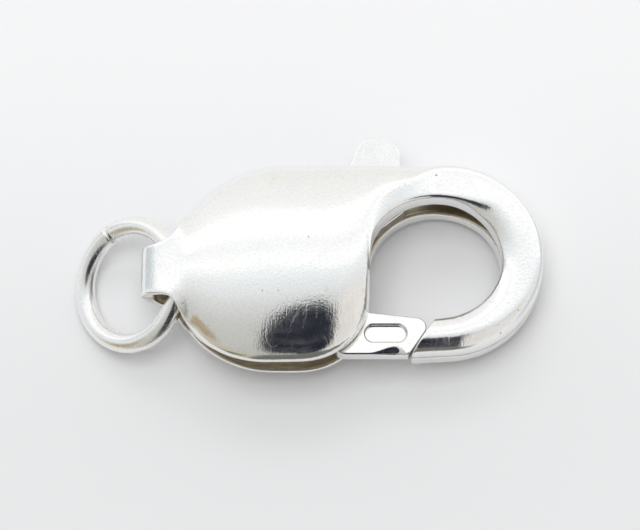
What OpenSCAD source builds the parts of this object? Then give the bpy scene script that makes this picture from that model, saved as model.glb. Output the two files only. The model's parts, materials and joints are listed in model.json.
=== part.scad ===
// Lobster clasp for a necklace or bracelet: a hollow body of two stamped shells that runs on
// into the hook, a pivoting lever with its gate and thumb tab, and an open jump ring.
// Millimetres. The clasp is laid out flat about its middle plane (x from the folded loop to the
// hook, y towards the thumb tab, z towards the front) and is then tipped onto its back, the way
// it lies on a table: on the crown of the body and the end of the hook, the ring hanging down.

/* [Body] */
// Width of the body
body_w = 12.7; // [11:0.1:15]
// Length of the body, from the neck to the wall of the eye
body_len = 12.15; // [11:0.05:14]
// Height of the body's crown above the middle plane
body_half = 3.55; // [3.1:0.05:4.2]
// Length of the rounded shoulder next to the neck
shoulder_len = 6.3; // [5:0.1:7]
// Length of the rounded corner where the gate comes out
corner_len = 4.2; // [3.2:0.1:4.6]
// Height of the same corner
corner_h = 4.0; // [3:0.1:4.6]

/* [Sheet] */
// Thickness of the stamped sheet
sheet = 0.35; // [0.25:0.01:0.45]
// Depth of the shell's upright wall round the eye, from its edge to its rim
wall_h = 1.12; // [0.8:0.02:1.3]
// Half of the slot between the edges of the two shells
slot_half = 0.88; // [0.8:0.01:1.05]
// Half of the gap where the shells nearly meet, beside the neck
pinch_half = 0.12; // [0.08:0.01:0.3]

/* [Hook] */
// Length of the eye, along the clasp
eye_len = 8.2; // [7:0.1:10]
// Width of the eye, across the clasp
eye_w = 7.5; // [6.8:0.1:8.2]
// Width of the hook's arm where it leaves the body
arm_top = 2.45; // [2:0.05:2.8]
// Width of the hook's arm at its far end
arm_side = 2.6; // [2.1:0.05:3.2]
// Width of the hook's arm next to its tip
arm_tip = 2.1; // [1.8:0.05:2.5]
// Height of the hook's crown above the middle plane, over the eye
hook_half = 2.6; // [2.2:0.05:3]
// Height of the crown next to the tip
tip_half = 1.6; // [1.4:0.05:2.2]
// How far the outer corner of the tip lies beyond the inner one
tip_lean = 1.5; // [1:0.05:2]
// Thickness of the wall that closes the tip
tip_wall = 0.5; // [0.3:0.05:0.8]

/* [Loop] */
// Length of the folded loop, up to the neck
loop_len = 2.05; // [1.8:0.05:2.6]
// Width of the loop at its fold
loop_w = 3.1; // [2.6:0.05:3.6]
// Width of the neck
neck_w = 3.7; // [3.2:0.05:4.2]
// Place of the loop across the clasp
loop_y = -0.34; // [-0.6:0.02:0.6]
// Outer radius of the fold
loop_r = 1.4; // [1.3:0.05:1.45]
// Thickness of the doubled sheet at the fold
fold_t = 0.65; // [0.4:0.05:0.75]
// Outer height of the neck above the middle plane
neck_half = 1.9; // [1.8:0.05:2]

/* [Lever] */
// Thickness of the lever
lever_t = 1.2; // [0.9:0.05:1.4]
// How far the gate's inner edge stands inside the end of the hook
gate_over = 0.15; // [0.1:0.05:0.4]
// How much the gate's inner edge rises towards the body
gate_rise = 0.5; // [0:0.05:0.8]
// Space between the end of the gate and the tip of the hook
gate_gap = 0.15; // [0.1:0.01:0.3]
// Radius of the gate's inner corner
gate_r = 0.6; // [0.3:0.05:0.8]
// Radius of the corner between the gate and the arm
root_r = 0.5; // [0.3:0.05:0.8]
// Radius of the bends in the arm
bend_r = 1.3; // [0.8:0.05:1.6]
// How far the thumb tab stands out of the body
tab_out = 2.15; // [1.6:0.05:3]
// Width of the thumb tab
tab_w = 2.75; // [2.2:0.05:3.2]
// Length of the sunk panel on the gate
panel_len = 2.6; // [2:0.1:3.2]
// Width of the sunk panel on the gate
panel_w = 1.1; // [0.8:0.05:1.3]
// Distance from the panel to the end of the gate
panel_in = 0.9; // [0.5:0.05:1]
// Distance of the panel above the middle of the gate
panel_up = 0.22; // [0:0.02:0.3]
// Depth of the sunk panel on the gate
panel_d = 0.2; // [0.1:0.02:0.35]

/* [Pivot] */
// Radius of the pivot pin
pin_r = 0.6; // [0.4:0.02:0.8]
// Space round the pin in the lever's bore
pin_clear = 0.05; // [0.03:0.01:0.09]
// Space between each end of the pin and the shell
pin_end = 0.12; // [0.08:0.01:0.3]
// Distance from the wall of the eye to the pin
pivot_in = 2.45; // [2:0.05:3]
// Distance of the pin below the middle line of the body
pivot_down = 1.7; // [1:0.05:2.2]
// Radius of the lever round the pin
hub_r = 1.7; // [1.3:0.05:2]

/* [Jump ring] */
// Radius of the jump ring, to the middle of its wire
ring_r = 3.7; // [3.4:0.02:4.2]
// Radius of the ring's wire
wire_r = 0.63; // [0.5:0.01:0.65]
// Width of the cut in the ring
ring_cut = 0.08; // [0.05:0.01:0.3]
// Where the cut is, counted round the ring from the loop
cut_at = 109; // [90:1:270]
// Distance from the fold to the middle of the wire
wire_x = 2.3; // [2.2:0.05:2.4]
// How far the ring leans sideways in the loop
ring_roll = 8; // [0:1:9]

/* [Hidden] */
silver = [0.9, 0.89, 0.87];

// The eye and the outer curve of the hook
top = body_w / 2;
eye_left = loop_len + body_len;
eye_right = eye_left + eye_len;
eye_x = (eye_left + eye_right) / 2;
eye_top = top - arm_top;
eye_bottom = eye_top - eye_w;
eye_y = (eye_top + eye_bottom) / 2;
hook_bottom = eye_bottom - arm_tip;
hook_r = (top - hook_bottom) / 2;
hook_y = (top + hook_bottom) / 2;
hook_x = eye_right + arm_side - hook_r;
tip_in = [eye_x - 0.01 * eye_len, eye_bottom];
tip_out = [tip_in.x - tip_lean, hook_bottom - 0.05 * arm_tip];

// Where the sections of the body begin and end
neck_a = asin(neck_w / body_w);
full_x = loop_len + shoulder_len;
bend_x = eye_left - corner_len;
last_hook_a = -72;
last_rim_a = -83;

function mix(a, b, t) = a + (b - a) * t;
function clamp(t) = min(1, max(0, t));
function ease(t) = let (c = clamp(t)) c * c * (3 - 2 * c);

// The shell is laid out in runs. In each, one point follows the inner side (neck, lower edge,
// corner, wall of the eye, rim of the eye) and one the outer side (upper edge, hook's outside).
function eye_point(a) = [eye_x + eye_len / 2 * cos(a), eye_y + eye_w / 2 * sin(a)];
function hook_point(a) = [hook_x + hook_r * cos(a), hook_y + hook_r * sin(a)];
function shoulder_run(t) =
    let (a = mix(neck_a, 90, t), c = cos(a) / cos(neck_a), x = full_x - shoulder_len * c)
    [[x, -top * sin(a) + loop_y * c], [x, top * sin(a) + loop_y * c]];
function flank_run(t) = [[mix(full_x, bend_x, t), -top], [mix(full_x, bend_x, t), top]];
function corner_run(t) =
    [[bend_x + corner_len * sin(90 * t), -top + corner_h * (1 - cos(90 * t))],
     [mix(bend_x, eye_left - 0.06 * body_len, t), top]];
function wall_run(t) =
    [[eye_left, mix(-top + corner_h, eye_y, t)],
     [mix(eye_left - 0.06 * body_len, eye_left + 0.06 * eye_len, t), top]];
function root_run(t) =
    [eye_point(mix(180, 95, t)), [mix(eye_left + 0.06 * eye_len, hook_x, t), top]];
function hook_run(t) =
    [eye_point(mix(95, last_hook_a, t)), hook_point(mix(90, last_rim_a, t))];
function tip_run(t) =
    let (from = hook_point(last_rim_a), by = [mix(from.x, tip_out.x, 0.4), hook_bottom])
    [mix(eye_point(mix(last_hook_a, -90, t)), tip_in, ease(t)),
     (1 - t) * (1 - t) * from + 2 * t * (1 - t) * by + t * t * tip_out];

// Each run has its share of the sections, and the last one ends at the tip
RUN_STEPS = [10, 2, 7, 3, 7, 17, 3];
function run_point(r, t) =
    r == 0 ? shoulder_run(t) : r == 1 ? flank_run(t) : r == 2 ? corner_run(t) :
    r == 3 ? wall_run(t) : r == 4 ? root_run(t) : r == 5 ? hook_run(t) : tip_run(t);
PLACES = [for (r = [0:len(RUN_STEPS) - 1])
          for (i = [0:RUN_STEPS[r] - (r == len(RUN_STEPS) - 1 ? 0 : 1)]) r + i / RUN_STEPS[r]];
LINES = [for (p = PLACES) let (r = min(floor(p), len(RUN_STEPS) - 1)) run_point(r, p - r)];
LAST = len(LINES) - 1;

// Heights. They follow the middle of each section along the body, and its place round the hook.
crest_from = full_x + 0.11 * body_len;
crest_to = eye_left - 0.32 * body_len;
hook_from = (eye_x + hook_x) / 2;
pinch_from = loop_len + 0.03 * body_len;
pinch_to = loop_len + 0.11 * body_len;
function share(x, a, b) = clamp((x - a) / (b - a));
function crown_over(x) =
    x < crest_to ? mix(neck_half, body_half, sin(90 * share(x, loop_len, crest_from)))
                 : mix(body_half, hook_half, ease(share(x, crest_to, hook_from)));
function mid_x(i) = (LINES[i][0].x + LINES[i][1].x) / 2;
// Round the hook the crown comes down towards the tip, and the rims with it
function taper(p) = ease(share(p, 5, 6.2));
function crown(i) =
    PLACES[i] < 5 ? crown_over(mid_x(i)) : mix(hook_half, tip_half, taper(PLACES[i]));

// Half of the gap between the shells: wide at the neck, nearly closed beside it, then the slot
function neck_share(x) = ease(share(x, pinch_to, pinch_from));
function open_gap(i) =
    let (x = mid_x(i), slot = mix(pinch_half, slot_half, sin(90 * share(x, pinch_to, crest_from))))
    mix(slot, neck_half - sheet, neck_share(x));
least_gap = 0.15 * sheet;
function closing(i, from, to) =
    let (p = PLACES[i], gap = p < from ? open_gap(i) : slot_half * (1 - ease(share(p, from, to))))
    gap < least_gap ? 0 : gap;
function inner_gap_at(i) = closing(i, 5.1, 5.5);
function outer_gap_at(i) = closing(i, 4.3, 4.8);
// The wall stands upright round the eye and at the tip; along the flanks it is only a lip
low_wall = 0.27 * wall_h;
function inner_wall(p) = ease(p - 2);
function outer_wall(p) = taper(p);
// The rim runs on at the same height past the place where the slot closes
function rim_at(i, gap, held, wall) =
    let (edge = max(gap, held ? slot_half : 0) + mix(low_wall, wall_h, wall))
    (PLACES[i] < 5 ? 1 : crown(i) / hook_half) *
    max(gap + sheet, mix(edge, neck_half, neck_share(mid_x(i))));
// Along the outside of the hook the rim sinks to the seam, and comes back at the tip
function sunk(p) = ease(p - 4) * (1 - taper(p));

// One section of the shell: plan points and heights from the inner side to the outer side
ACROSS = 11;
LAYER = ACROSS + 3;
lip = 0.17 * sheet;
// Exponents of the crown's curve next to a round flank and next to an upright wall
ROUND_FLANK = [2.2, 2];
WALLED = [2.6, 1.15];
function dome(u, rim_z, top_z, e) =
    rim_z + (top_z - rim_z) * pow(1 - pow(abs(u), e[0]), 1 / e[1]);
function section(from, to, gaps, rims, top_z, walls) =
    [[from.x, from.y, gaps[0]],
     for (j = [0:ACROSS]) let (u = sin(180 * j / ACROSS - 90), at = mix(from, to, (1 + u) / 2),
                               side = u < 0 ? 0 : 1)
         [at.x, at.y, j == 0 ? rims[0] : j == ACROSS ? rims[1] :
          dome(u, rims[side], top_z, mix(ROUND_FLANK, WALLED, walls[side]))],
     [to.x, to.y, gaps[1]]];

// The inner face of the sheet lies inside the outlines by the thickness of the sheet
function unit(v) = v / norm(v);
function before(i, side) = i == 0 ? [loop_r, LINES[0][side].y] : LINES[i - 1][side];
function inset(i, side) =
    let (t = unit(LINES[min(LAST, i + 1)][side] - before(i, side)))
    LINES[i][side] + sheet * (side == 0 ? [-t.y, t.x] : [t.y, -t.x]);
function walls_at(i) = [inner_wall(PLACES[i]), outer_wall(PLACES[i])];
function shell_outside(i) =
    let (p = PLACES[i], gi = inner_gap_at(i), go = outer_gap_at(i), w = walls_at(i))
    section(LINES[i][0], LINES[i][1], [gi, go],
            [rim_at(i, gi, p > 5, w[0]), mix(rim_at(i, go, p > 4, w[1]), low_wall, sunk(p))],
            crown(i), w);
function shell_inside(i) =
    let (o = shell_outside(i), gi = inner_gap_at(i), go = outer_gap_at(i), drop = 0.7 * sheet)
    section(inset(i, 0), inset(i, 1), [gi, go],
            [max(gi + lip, o[1].z - drop),
             max(go + lip, o[LAYER - 2].z - drop * (1 - sunk(PLACES[i])))],
            crown(i) - 1.1 * sheet, walls_at(i));
// The hollow stops short of the tip
function shell_inside_at(i) = i < LAST ? shell_inside(i)
    : let (a = shell_inside(LAST), b = shell_inside(LAST - 1),
           step = norm(LINES[LAST][1] - LINES[LAST - 1][1]))
      [for (j = [0:LAYER - 1]) mix(a[j], b[j], min(0.9, tip_wall / step))];

// The folded loop is the same sheet, turned round the fold from the front to the back
FOLD_STEPS = 10;
FOLD_TURN = 180 / FOLD_STEPS;
function fold_section(k, inside) =
    let (turn = k * FOLD_TURN, nose = sin(turn), in_r = loop_r - mix(sheet, fold_t, nose),
         w = mix(mix(loop_w, neck_w, 0.4), loop_w, nose), inset = inside ? sheet : 0,
         top_z = inside ? in_r + 1.3 * lip : loop_r, rim_z = inside ? in_r + lip : loop_r - lip / 2)
    [for (q = section([0, loop_y - w / 2 + inset], [0, loop_y + w / 2 - inset], [in_r, in_r],
                      [rim_z, rim_z], top_z, [1, 1]))
     [loop_r - q.z * sin(turn), q.y, q.z * cos(turn)]];
function mirrored(s) = [for (q = s) [q.x, q.y, -q.z]];

// All sections in a row: back shell from its tip, the fold, front shell to its tip
OUTSIDE = [for (i = [LAST:-1:0]) mirrored(shell_outside(i)),
           for (k = [FOLD_STEPS:-1:0]) fold_section(k, false),
           for (i = [0:LAST]) shell_outside(i)];
INSIDE = [for (i = [LAST:-1:0]) mirrored(shell_inside_at(i)),
          for (k = [FOLD_STEPS:-1:0]) fold_section(k, true),
          for (i = [0:LAST]) shell_inside_at(i)];
ROWS = len(OUTSIDE);
function line_of(s) = s <= LAST ? LAST - s : s >= ROWS - 1 - LAST ? s - (ROWS - 1 - LAST) : -1;
function soldered(s, j) =
    let (i = line_of(s))
    i < 0 ? false : j == 0 ? inner_gap_at(i) == 0 : j == LAYER - 1 ? outer_gap_at(i) == 0 : false;
// The front shell shares the back shell's points along a soldered edge
function id(s, j, layer) =
    let (row = s > LAST && soldered(s, j) ? ROWS - 1 - s : s) (layer * ROWS + row) * LAYER + j;
function quad(a, b, c, d) = [[a, b, c], [a, c, d]];
function flat(lists) = [for (l = lists) for (x = l) x];
SKIN = flat([for (s = [0:ROWS - 2]) for (j = [0:LAYER - 2]) for (layer = [0, 1])
    layer == 0 ? quad(id(s, j, 0), id(s, j + 1, 0), id(s + 1, j + 1, 0), id(s + 1, j, 0))
               : quad(id(s, j, 1), id(s + 1, j, 1), id(s + 1, j + 1, 1), id(s, j + 1, 1))]);
EDGES = flat([for (s = [0:ROWS - 2]) for (j = [0, LAYER - 1])
    if (!(soldered(s, j) && soldered(s + 1, j)))
        j == 0 ? quad(id(s, j, 0), id(s + 1, j, 0), id(s + 1, j, 1), id(s, j, 1))
               : quad(id(s, j, 1), id(s + 1, j, 1), id(s + 1, j, 0), id(s, j, 0))]);
// The end of the tip is a fan of triangles from its inner corner
function rim_ids(layer) = [for (j = [0:LAYER - 1]) id(ROWS - 1, j, layer),
                           for (j = [LAYER - 2:-1:1]) id(0, j, layer)];
function fan(ids, a, b) = [for (k = [1:len(ids) - 2]) [ids[0], ids[k + a], ids[k + b]]];
SHELL_POINTS = concat(flat(OUTSIDE), flat(INSIDE));
SHELL_FACES = concat(SKIN, EDGES, fan(rim_ids(0), 0, 1), fan(rim_ids(1), 1, 0));

// The ring hangs in the loop and its far side touches what the clasp lies on
function crest(i) = [mid_x(i), crown(i)];
BODY_CRESTS = [for (i = [0:LAST]) if (PLACES[i] < 4) crest(i)];
HOOK_CRESTS = [for (i = [0:LAST]) if (PLACES[i] > 5) crest(i)];
// Angle at which the clasp lies, from the line that touches both crowns from below
lie_a = atan(min([for (h = HOOK_CRESTS) max([for (b = BODY_CRESTS)
                                             (b[1] - h[1]) / (h[0] - b[0])])]));
function height(q) = -q.x * sin(lie_a) + q.z * cos(lie_a);
floor_z = min([for (q = SHELL_POINTS) height(q)]);
wire_mid = [wire_x, loop_y, 0];
function ring_out(tilt) = [cos(tilt), 0, sin(tilt)];
function ring_normal(tilt) =
    [-sin(tilt) * cos(ring_roll), -sin(ring_roll), cos(tilt) * cos(ring_roll)];
function ring_low(tilt) =
    let (up = [-sin(lie_a), 0, cos(lie_a)], c = wire_mid - ring_r * ring_out(tilt),
         lean = ring_normal(tilt) * up)
    c * up - ring_r * sqrt(1 - lean * lean) - wire_r;
function find_tilt(lo, hi, n) =
    n == 0 ? (lo + hi) / 2 :
    let (m = (lo + hi) / 2) ring_low(m) > floor_z ? find_tilt(m, hi, n - 1)
                                                  : find_tilt(lo, m, n - 1);
ring_tilt = find_tilt(0, 85, 24);

// The origin is below the middle of the whole clasp
function lain(q) = [q.x * cos(lie_a) + q.z * sin(lie_a), q.y, height(q) - floor_z];
ring_mid = lain(wire_mid - ring_r * ring_out(ring_tilt));
ring_lean = ring_normal(ring_tilt) * [cos(lie_a), 0, sin(lie_a)];
min_x = ring_mid.x - ring_r * sqrt(1 - ring_lean * ring_lean) - wire_r;
max_x = max([for (q = SHELL_POINTS) lain(q).x]);
tab_top = top + tab_out;
min_y = min([for (q = SHELL_POINTS) q.y]);
origin = [(min_x + max_x) / 2, (min_y + tab_top) / 2, 0];

module lie_on_back() {
    translate(-origin) translate([0, 0, -floor_z]) rotate([0, lie_a, 0]) children();
}

// Outline with a rounded corner at each point: x, y, radius
ARC = 6;
function rounded(pts) = flat([for (i = [0:len(pts) - 1])
    let (n = len(pts), c = pts[i], q = [c.x, c.y],
         a = unit([pts[(i + n - 1) % n].x, pts[(i + n - 1) % n].y] - q),
         b = unit([pts[(i + 1) % n].x, pts[(i + 1) % n].y] - q),
         half = acos(min(1, max(-1, a * b))) / 2, mid = q + unit(a + b) * c.z / sin(half),
         from = q + a * c.z / tan(half) - mid, to = q + b * c.z / tan(half) - mid)
    [for (k = [0:ARC]) mid + unit(mix(from, to, k / ARC)) * c.z]]);

// The lever: gate, arm, hub and tab, cut from one plate
pivot = [eye_left - pivot_in, -pivot_down];
tip_dir = unit(tip_in - tip_out);
tip_normal = [-tip_dir.y, tip_dir.x];
end_point = tip_in + tip_normal * gate_gap;
function end_at(y) = end_point + tip_dir * (y - end_point.y) / tip_dir.y;
gate_top = eye_bottom + gate_over;
gate_low = hook_bottom;
root_x = eye_left - sheet;
tab_right = eye_left + 0.24 * eye_len;
tab_left = tab_right - tab_w;
LEVER = [
    [end_at(gate_top).x, gate_top, gate_r],
    [root_x, gate_top + gate_rise, root_r],
    [root_x, eye_y + 0.185 * eye_w, bend_r],
    [tab_right + 0.055 * eye_len, eye_top - 0.08 * arm_top, 0.6 * bend_r],
    [tab_right, top - 0.3 * arm_top, bend_r],
    [tab_right, tab_top, 0.46 * tab_w],
    [tab_left + 0.12 * tab_w, tab_top, 0.36 * tab_w],
    [tab_left - 0.17 * tab_w, top + 0.1 * tab_out, 0.28 * tab_out],
    [pivot.x - 0.24 * hub_r, pivot.y + 2.1 * hub_r, 0.7 * hub_r],
    [pivot.x - hub_r, pivot.y + 0.3 * hub_r, 0.7 * hub_r],
    [pivot.x - 0.9 * hub_r, pivot.y - hub_r, 0.5 * hub_r],
    [pivot.x + 0.2 * hub_r, gate_low, 0.9 * hub_r],
    [end_at(gate_low).x, gate_low, 0.3 * gate_r]
];
gate_mid = (gate_top + gate_low) / 2;
panel_mid = [end_at(gate_mid).x - panel_in - panel_len / 2, gate_mid + panel_up];
module panel() {
    r = panel_w / 2;
    l = panel_len / 2 - r;
    for (side = [-1, 1]) translate([side * l, 0, 0])
        cylinder(h = panel_d * 2, r = r, center = true, $fn = 48);
    cube([2 * l, panel_w, panel_d * 2], center = true);
}
module lever() {
    color(silver) lie_on_back() difference() {
        linear_extrude(lever_t, center = true) polygon(rounded(LEVER));
        translate([pivot.x, pivot.y, 0])
            cylinder(h = 2 * lever_t, r = pin_r + pin_clear, center = true, $fn = 64);
        translate([panel_mid.x, panel_mid.y, lever_t / 2]) panel();
    }
}

// The front and back shells, the fold between them and the soldered hook are one piece
module body() {
    color(silver) lie_on_back() polyhedron(points = SHELL_POINTS, faces = SHELL_FACES);
}

// The pin stands between the shells, under their crowns
pin_half = dome((abs(pivot.y) + pin_r) / top, slot_half + low_wall, crown_over(pivot.x + pin_r),
                ROUND_FLANK) - 1.1 * sheet - pin_end;
module pivot_pin() {
    color(silver) lie_on_back() translate([pivot.x, pivot.y, 0])
        cylinder(h = 2 * pin_half, r = pin_r, center = true, $fn = 64);
}

// The jump ring, with its cut left a little open
module jump_ring() {
    gap_a = 2 * asin(ring_cut / 2 / ring_r);
    color(silver) lie_on_back() translate(wire_mid) rotate([0, -ring_tilt, 0])
        rotate([ring_roll, 0, 0]) translate([-ring_r, 0, 0]) rotate([0, 0, cut_at + gap_a / 2])
        rotate_extrude(angle = 360 - gap_a, $fn = 96)
            translate([ring_r, 0]) circle(r = wire_r, $fn = 48);
}

body();
lever();
pivot_pin();
jump_ring();
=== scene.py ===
import json
import math

import bmesh
import bpy
import numpy as np
from mathutils import Matrix, Vector


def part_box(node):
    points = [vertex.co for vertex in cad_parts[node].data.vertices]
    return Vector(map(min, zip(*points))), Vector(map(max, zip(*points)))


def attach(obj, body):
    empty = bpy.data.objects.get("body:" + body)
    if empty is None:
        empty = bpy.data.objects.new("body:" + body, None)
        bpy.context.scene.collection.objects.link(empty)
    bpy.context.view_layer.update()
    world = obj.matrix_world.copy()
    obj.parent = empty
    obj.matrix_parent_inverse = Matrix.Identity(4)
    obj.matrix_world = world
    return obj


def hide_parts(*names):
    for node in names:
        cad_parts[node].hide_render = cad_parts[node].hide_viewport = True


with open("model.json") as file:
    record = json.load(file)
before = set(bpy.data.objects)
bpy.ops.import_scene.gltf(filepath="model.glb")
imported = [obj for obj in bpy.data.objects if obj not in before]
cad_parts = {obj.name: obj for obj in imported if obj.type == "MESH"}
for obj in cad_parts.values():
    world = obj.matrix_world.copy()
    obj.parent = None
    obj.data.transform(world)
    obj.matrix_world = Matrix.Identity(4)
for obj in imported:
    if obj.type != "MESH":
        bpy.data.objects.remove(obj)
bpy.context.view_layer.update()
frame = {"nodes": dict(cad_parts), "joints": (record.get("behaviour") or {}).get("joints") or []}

# The clasp's own frame
# The clasp is laid out about its middle plane as in the CAD source: x from the folded loop to the
# hook, y towards the thumb tab, z towards the front, in millimetres and degrees. The lever's hinge
# says how that plane lies in the frame.
MM = 0.001
BODY_W, BODY_LEN, BODY_HALF = 12.7, 12.15, 3.55  # width, length, height of the crown
SHOULDER_LEN, CORNER_LEN, CORNER_H = 6.3, 4.2, 4.0  # rounded shoulder, corner at the gate
SHEET, WALL_H, SLOT_HALF, PINCH_HALF = 0.35, 1.12, 0.88, 0.12  # sheet, upright wall, half gaps
EYE_LEN, EYE_W = 8.2, 7.5
ARM_TOP, ARM_SIDE, ARM_TIP, TIP_HALF = 2.45, 2.6, 2.1, 1.6  # widths of the hook, height at its tip
TIP_LEAN, TIP_WALL = 1.5, 0.5
LOOP_LEN, LOOP_W, LOOP_Y, LOOP_R = 2.05, 3.1, -0.34, 1.4  # length, width, place and radius
NECK_W, NECK_HALF = 3.7, 1.9
LEVER_T, GATE_OVER, GATE_RISE, GATE_GAP = 1.2, 0.15, 0.5, 0.15
GATE_R, ROOT_R, BEND_R = 0.6, 0.5, 1.3  # corners of the lever
TAB_OUT, TAB_W = 2.15, 2.75
PANEL_LEN, PANEL_W, PANEL_D = 2.6, 1.1, 0.2  # sunk panel on the gate
PANEL_IN, PANEL_UP = 0.9, 0.22  # from the gate's end, above its middle
PIN_R, PIN_CLEAR, HUB_R = 0.6, 0.05, 1.7
PIVOT_IN, PIVOT_DOWN = 2.45, 1.7  # from the eye's wall, below the middle
RING_R, WIRE_R, RING_CUT, CUT_AT = 3.7, 0.63, 0.08, 109  # ring, wire, width and place of the cut
WIRE_X, RING_ROLL = 2.3, 8  # place in the loop, lean to one side

hinge = {j["name"]: j for j in frame["joints"]}["lever_hinge"]
LIE = math.atan2(hinge["axis"][0], hinge["axis"][2])
TOP = BODY_W / 2
EYE_LEFT = LOOP_LEN + BODY_LEN
PIVOT = np.array([EYE_LEFT - PIVOT_IN, -PIVOT_DOWN, 0.0])
TURN = np.array([[math.cos(LIE), 0, math.sin(LIE)], [0, 1, 0], [-math.sin(LIE), 0, math.cos(LIE)]])


def lain(points):
    """Points of the clasp's own frame, put where the CAD has them, in metres."""
    return np.array(hinge["pos_m"]) + MM * (np.asarray(points, float) - PIVOT) @ TURN.T


def mix(a, b, t):
    return a + (b - a) * t


def share(x, a, b):
    """How far x has come from a to b, between 0 and 1."""
    return min(1.0, max(0.0, (x - a) / (b - a)))


def ease(t):
    return t * t * (3 - 2 * t)


def over(x, span):
    """How far x has come through a span, with a soft start and end."""
    return ease(share(x, *span))


def unit(v):
    return v / np.linalg.norm(v)


def sind(a):
    return math.sin(math.radians(a))


def cosd(a):
    return math.cos(math.radians(a))


# Outlines of the shell
EYE_RIGHT = EYE_LEFT + EYE_LEN
EYE_X = (EYE_LEFT + EYE_RIGHT) / 2
EYE_TOP = TOP - ARM_TOP
EYE_BOTTOM = EYE_TOP - EYE_W
EYE_Y = (EYE_TOP + EYE_BOTTOM) / 2
HOOK_BOTTOM = EYE_BOTTOM - ARM_TIP
HOOK_R = (TOP - HOOK_BOTTOM) / 2
HOOK_Y = (TOP + HOOK_BOTTOM) / 2
HOOK_X = EYE_RIGHT + ARM_SIDE - HOOK_R
TIP_IN = np.array([EYE_X - 0.01 * EYE_LEN, EYE_BOTTOM])
TIP_OUT = np.array([TIP_IN[0] - TIP_LEAN, HOOK_BOTTOM - 0.05 * ARM_TIP])
NECK_A = math.degrees(math.asin(NECK_W / BODY_W))
FULL_X = LOOP_LEN + SHOULDER_LEN
BEND_X = EYE_LEFT - CORNER_LEN
WALL_X = EYE_LEFT - 0.06 * BODY_LEN  # on the upper side, across from the wall of the eye
ARM_X = EYE_LEFT + 0.06 * EYE_LEN    # and from the root of the hook
EYE_HOOK_A, EYE_TIP_A = 95, -72      # round the eye: where the hook and its tip begin
HOOK_TIP_A = -83                     # round the hook: where its tip begins
TIP_BEND = 0.4                       # place of the bend between there and the tip's end

# Places along the shell, from the neck to the tip; what lies between two of them is a fraction
AT_NECK, AT_FULL, AT_CORNER, AT_WALL, AT_ROOT, AT_HOOK, AT_TIP, AT_END = range(8)
RUN_STEPS = (34, 8, 20, 9, 24, 60, 10)  # sections from each place to the next
PLACES = [run + i / n for run, n in enumerate(RUN_STEPS) for i in range(n)] + [float(AT_END)]
LAST = len(PLACES) - 1
PATH_TIMES = 6  # how often the outlines are softened


def eye_point(a):
    return np.array([EYE_X + EYE_LEN / 2 * cosd(a), EYE_Y + EYE_W / 2 * sind(a)])


def hook_point(a):
    return np.array([HOOK_X + HOOK_R * cosd(a), HOOK_Y + HOOK_R * sind(a)])


def line_at(place):
    """The inner and the outer end of the section at a place."""
    run = min(int(place), AT_TIP)
    t = place - run
    if run == AT_NECK:
        a = mix(NECK_A, 90, t)
        c = cosd(a) / cosd(NECK_A)
        x = FULL_X - SHOULDER_LEN * c
        return (x, -TOP * sind(a) + LOOP_Y * c), (x, TOP * sind(a) + LOOP_Y * c)
    if run == AT_FULL:
        x = mix(FULL_X, BEND_X, t)
        return (x, -TOP), (x, TOP)
    if run == AT_CORNER:
        return ((BEND_X + CORNER_LEN * sind(90 * t), -TOP + CORNER_H * (1 - cosd(90 * t))),
                (mix(BEND_X, WALL_X, t), TOP))
    if run == AT_WALL:
        return (EYE_LEFT, mix(-TOP + CORNER_H, EYE_Y, t)), (mix(WALL_X, ARM_X, t), TOP)
    if run == AT_ROOT:
        return eye_point(mix(180, EYE_HOOK_A, t)), (mix(ARM_X, HOOK_X, t), TOP)
    if run == AT_HOOK:
        return eye_point(mix(EYE_HOOK_A, EYE_TIP_A, t)), hook_point(mix(90, HOOK_TIP_A, t))
    start = hook_point(HOOK_TIP_A)
    by = np.array([mix(start[0], TIP_OUT[0], TIP_BEND), HOOK_BOTTOM])
    return (mix(eye_point(mix(EYE_TIP_A, -90, t)), TIP_IN, ease(t)),
            (1 - t) ** 2 * start + 2 * t * (1 - t) * by + t * t * TIP_OUT)


def softened(path, times):
    """A path with the small changes of pace along it evened out, and its ends kept."""
    for _ in range(times):
        path[1:-1] = 0.5 * path[1:-1] + 0.25 * (path[:-2] + path[2:])
    return path


INNER = softened(np.array([line_at(p)[0] for p in PLACES], float), PATH_TIMES)
OUTER = softened(np.array([line_at(p)[1] for p in PLACES], float), PATH_TIMES)

# Heights of the shell
CREST_FROM = FULL_X + 0.11 * BODY_LEN
CREST_TO = EYE_LEFT - 0.32 * BODY_LEN
HOOK_FROM = (EYE_X + HOOK_X) / 2
HOOK_CREST = 2.25  # crown of the hook as the photo shows it
PINCH_FROM = LOOP_LEN + 0.02 * BODY_LEN
PINCH_TO = LOOP_LEN + 0.085 * BODY_LEN
LEAST_GAP = 0.15 * SHEET
LOW_WALL = 0.27 * WALL_H
EYE_WALL = 0.75 * WALL_H  # upright side round the eye over the arm

# Spans of places over which something comes in
WALL_SPAN = (2, 3)                     # upright side at the eye
SOFT_SPAN = (1.8, 2.2)                 # soft turn beside the gate
SQUARE_SPAN = (3.2, 3.9)               # square edge of the eye
SQUARE_END = (5.05, 5.3)               # and its end
SINK_SPAN = (4, 5)                     # low rim along the outside of the hook
SIDE_SPAN = (4.6, 5.2)                 # full outer side of the hook
TAPER_SPAN = (5, 6.2)                  # crown coming down towards the tip
FLANK_SPAN = (5.4, 6.0)                # flank of the tip
SEAM_SPANS = ((5.1, 5.5), (4.3, 4.8))  # closing of the gap at the inner and the outer side

# Exponents of the crown's curve across a section, of the distance and of the height
ROUND_FLANK = np.array([2.2, 2.0])
WALLED = np.array([2.6, 1.15])
SQUARE = np.array([18.0, 1.3])
TIP_FLANK = np.array([2.5, 2.1])
FULL_SIDE = np.array([12.0, 1.6])


def mid_x(i):
    return (INNER[i][0] + OUTER[i][0]) / 2


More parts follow.
